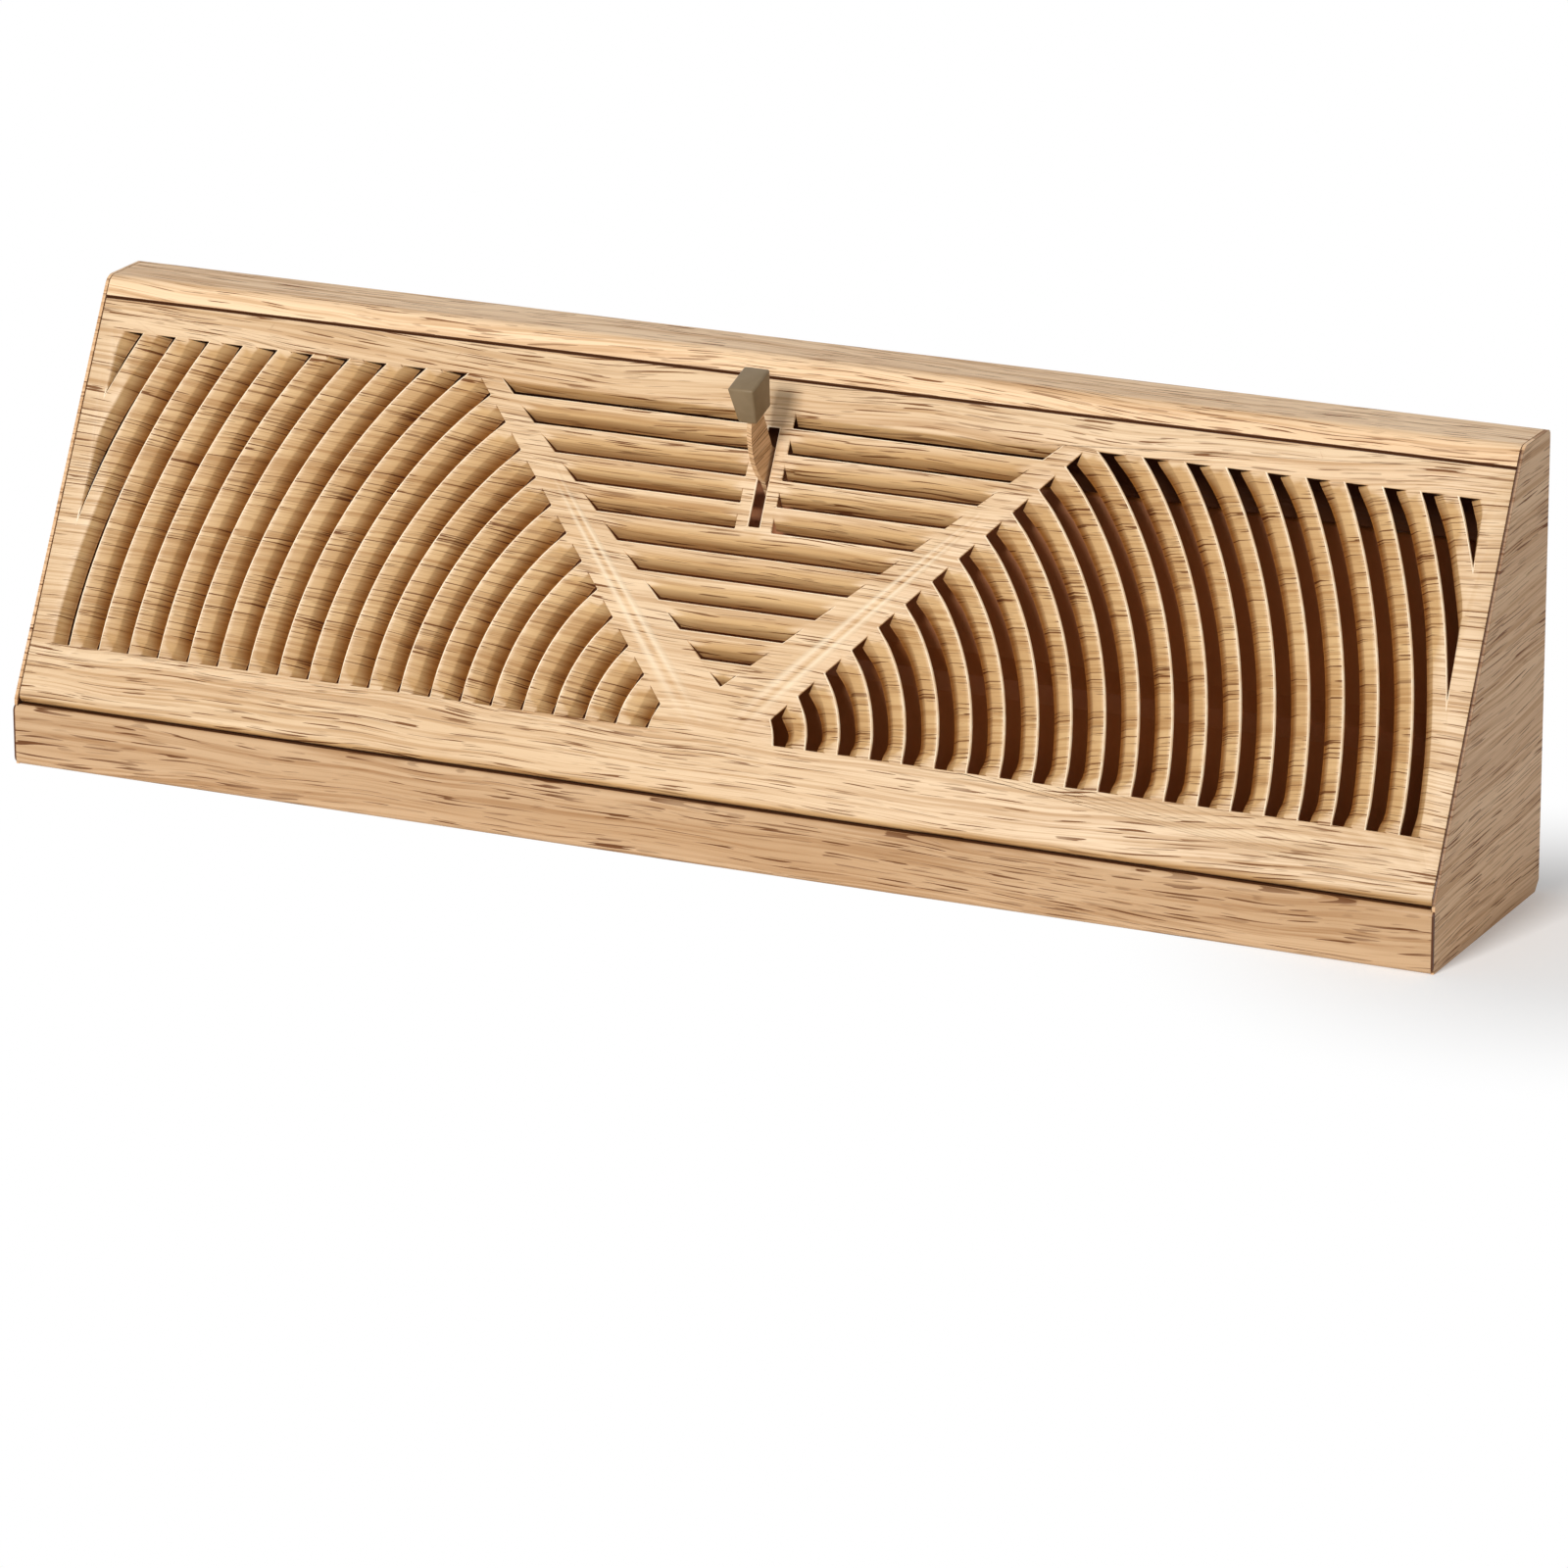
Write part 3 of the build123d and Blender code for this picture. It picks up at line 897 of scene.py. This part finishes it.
def pressed_panel(oak, highlight_finish, inside):
    """The louvre panel, with the rounded folds of pressed sheet."""
    oak_slot, lip_highlight_slot, inside_slot = 0, 1, 2
    louvres = [ArcLouvre(place, side) for place in range(arc_count) for side in (1, -1)]
    for place in range(vee_count):
        sides = (1, -1) if place < column_louvres else (1,)
        louvres.extend(VeeLouvre(place, side) for side in sides)
    mesh = bmesh.new()
    flat_sheet(mesh, louvres)
    for louvre in louvres:
        grid(mesh, louvre.tab(), isinstance(louvre, VeeLouvre) or louvre.side < 0)
    grid(mesh, bottom_roll(), True)
    bmesh.ops.remove_doubles(mesh, verts=mesh.verts, dist=merge_distance * MM)
    piece = new_piece("pressed_louvre_panel", mesh, oak, highlight_finish, inside)
    thickness = piece.modifiers.new("thickness", "SOLIDIFY")
    thickness.thickness = sheet * MM
    thickness.offset = -1
    thickness.material_offset_rim = lip_highlight_slot
    thickness.material_offset = inside_slot
    rounding = piece.modifiers.new("rounding", "BEVEL")
    rounding.width = lip_round * MM
    rounding.segments = 2
    rounding.material = lip_highlight_slot
    rounding.limit_method = "ANGLE"
    rounding.angle_limit = lip_angle
    rounding.use_clamp_overlap = False
    solid_mesh(piece, panel_sharp)
    # Only the lips keep the painted highlight; the other rims take the oak print again
    for face in piece.data.polygons:
        if face.material_index == lip_highlight_slot and not on_a_lip(face.center / MM):
            face.material_index = oak_slot
    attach(piece, "housing")
    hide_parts("louvre_panel")
    return piece


def moulded_knob(taupe):
    """The lever's knob: a tapered block with rounded edges."""
    axis = up_slope * math.cos(knob_tilt) + out_of_face * math.sin(knob_tilt)
    deep = axis.cross(X_WAY)
    foot = on_face(0, slot_top + knob_above_slot, knob_out)
    flare = 2 * knob_height * math.tan(knob_taper)
    mesh = bmesh.new()
    rings = []
    for rise, spread in ((0.0, 0.0), (knob_height, flare)):
        half_width = (knob_foot_width + spread) / 2
        half_depth = (knob_foot_depth + spread) / 2
        ring = []
        for x, y in ((-1, -1), (1, -1), (1, 1), (-1, 1)):
            offset = Vector((x * half_width, 0, 0)) + deep * y * half_depth + axis * rise
            ring.append(mesh.verts.new(foot + offset * MM))
        rings.append(ring)
    low, high = rings
    mesh.faces.new(low[::-1])
    mesh.faces.new(high)
    for step in range(len(low)):
        after = (step + 1) % len(low)
        mesh.faces.new([low[step], low[after], high[after], high[step]])
    piece = new_piece("moulded_knob", mesh, taupe)
    rounding = piece.modifiers.new("rounding", "BEVEL")
    rounding.width = knob_round * MM
    rounding.segments = 5
    solid_mesh(piece, knob_sharp)
    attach(piece, "damper")
    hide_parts("lever_knob")
    return piece


def dress(node, material):
    """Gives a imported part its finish."""
    nodes[node].data.materials.clear()
    nodes[node].data.materials.append(material)


# Finishes, with the grain's direction on each piece
end_tilt = math.radians(2)
end_grain = Vector((0, math.cos(end_tilt), math.sin(end_tilt)))
end_across = Vector((0, -end_grain.z, end_grain.y))
top_across = Vector((0, 0.8, 0.6))
rail_across = Vector((0, -0.6, 0.8))
lever_grain = Vector((0, 0.98, 0.2))
lever_across = Vector((0.3, -0.2, 0.98))
dark = dark_paint()
panel_oak = oak_print("oak_panel", X_WAY, up_slope, 1.0, painted_pressings=pressing_shade_and_highlight)
pressed_panel(panel_oak, painted_lip_highlight(), dark)
moulded_knob(moulded_taupe())
# The top rail carries painted light; the bottom rail, end caps and lever carry painted shade, and inner
# faces painted shade
dress("top_rail", oak_print("oak_top_rail", X_WAY, top_across, 31.0, TOP_PAINTED_LIGHT, top_inside_shade))
dress("bottom_rail", oak_print("oak_bottom_rail", X_WAY, rail_across, 57.0, RAIL_PAINTED_SHADE, rail_inside_shade))
dress("right_end_cap", oak_print("oak_right_cap", end_grain, end_across, 83.0, CAP_PAINTED_SHADE, cap_inside_shade))
dress("left_end_cap", oak_print("oak_left_cap", end_grain, end_across, 101.0, CAP_PAINTED_SHADE, cap_inside_shade))
dress("damper_lever", oak_print("oak_lever", lever_grain, lever_across, 127.0, LEVER_PAINTED_SHADE))
dress("damper_blade", dark)
dress("pivot_studs", zinc_plate())
dress("friction_washers", pressed_fibre())

# Floor, light and camera
FLOOR_WHITE = (0.9, 0.9, 0.9, 1)
FLOOR_SEEN = (1.1, 1.1, 1.1, 1)
WHITE = (1, 1, 1, 1)
floor_half = 8.0
sky_level = 0.30
floor_shade_beyond = 20
floor_shaded = Vector((half_length + floor_shade_beyond, 0, 0)) * MM
floor_near = 0.02
floor_far = 0.11
floor_least = 0.15
view_place = Vector((842.1, front - 1708.5, 637.7))
view_yaw = math.radians(25.596)
view_pitch = math.radians(17.949)
view_roll = math.radians(0.183)
sensor_width = 36.0
focal_length = 190.76


def background_share(finish):
    """One for rays that see the background straight, in a gloss or through glass, and nought for others."""
    seen = finish.node("ShaderNodeLightPath", output="Is Camera Ray")
    for kind in ("Is Glossy Ray", "Is Transmission Ray"):
        seen = finish.larger(seen, finish.node("ShaderNodeLightPath", output=kind))
    return seen


def lay_floor():
    mesh = bmesh.new()
    corners = [(-1, -1), (1, -1), (1, 1), (-1, 1)]
    mesh.faces.new([mesh.verts.new((x * floor_half, y * floor_half, 0)) for x, y in corners])
    material, finish = new_material("pale_floor")
    lit = finish.node("ShaderNodeBsdfDiffuse", {}, {"Color": FLOOR_WHITE})
    pale = finish.node("ShaderNodeBsdfDiffuse", {}, {"Color": FLOOR_SEEN})
    white = finish.node("ShaderNodeEmission", {}, {"Color": WHITE, "Strength": 1.0})
    seen = background_share(finish)
    settings = {"operation": "DISTANCE"}
    distance = finish.node("ShaderNodeVectorMath", settings, {0: finish.place(), 1: floor_shaded}, "Value")
    near = finish.node("ShaderNodeMixShader", {}, {0: seen, 1: lit, 2: pale})
    share = seen * finish.rise(distance, floor_near, floor_far, low=floor_least)
    mixed = finish.node("ShaderNodeMixShader", {}, {0: share, 1: near, 2: white})
    finish.node("ShaderNodeOutputMaterial", {}, {"Surface": mixed})
    new_piece("floor", mesh, material)


def set_sky():
    world = bpy.data.worlds.new("studio")
    world.use_nodes = True
    bpy.context.scene.world = world
    finish = Finish(world.node_tree)
    strength = sky_level + (1 - sky_level) * background_share(finish)
    sky = finish.node("ShaderNodeBackground", {}, {"Color": WHITE, "Strength": strength})
    finish.node("ShaderNodeOutputWorld", {}, {"Surface": sky})


def hang_lamp(name, azimuth, elevation, distance, size, level):
    """A square soft lamp that lights a surface facing it to a level where 1 renders white as white."""
    turn, lift = math.radians(azimuth), math.radians(elevation)
    way = Vector((math.sin(turn) * math.cos(lift), -math.cos(turn) * math.cos(lift), math.sin(lift)))
    aim = Vector((0, 0, height / 2)) * MM
    lamp = bpy.data.lights.new(name, "AREA")
    lamp.size = size
    lamp.energy = level * math.pi**2 * distance**2
    hung = bpy.data.objects.new(name, lamp)
    hung.location = aim + way * distance
    hung.rotation_euler = (-way).to_track_quat("-Z", "Y").to_euler()
    bpy.context.scene.collection.objects.link(hung)


def set_camera():
    """The photograph's view, fitted to the register's corners."""
    view_data = bpy.data.cameras.new("view")
    view_data.sensor_width = sensor_width
    view_data.lens = focal_length
    view = bpy.data.objects.new("view", view_data)
    turned = Matrix.Rotation(view_yaw, 4, "Z") @ Matrix.Rotation(math.pi / 2 - view_pitch, 4, "X")
    view.matrix_world = Matrix.Translation(view_place * MM) @ turned @ Matrix.Rotation(-view_roll, 4, "Z")
    bpy.context.scene.collection.objects.link(view)
    bpy.context.scene.camera = view


lay_floor()
set_sky()
hang_lamp("key", azimuth=-4, elevation=31, distance=2.2, size=0.5, level=0.72)
set_camera()
bpy.context.scene.view_settings.view_transform = "Standard"
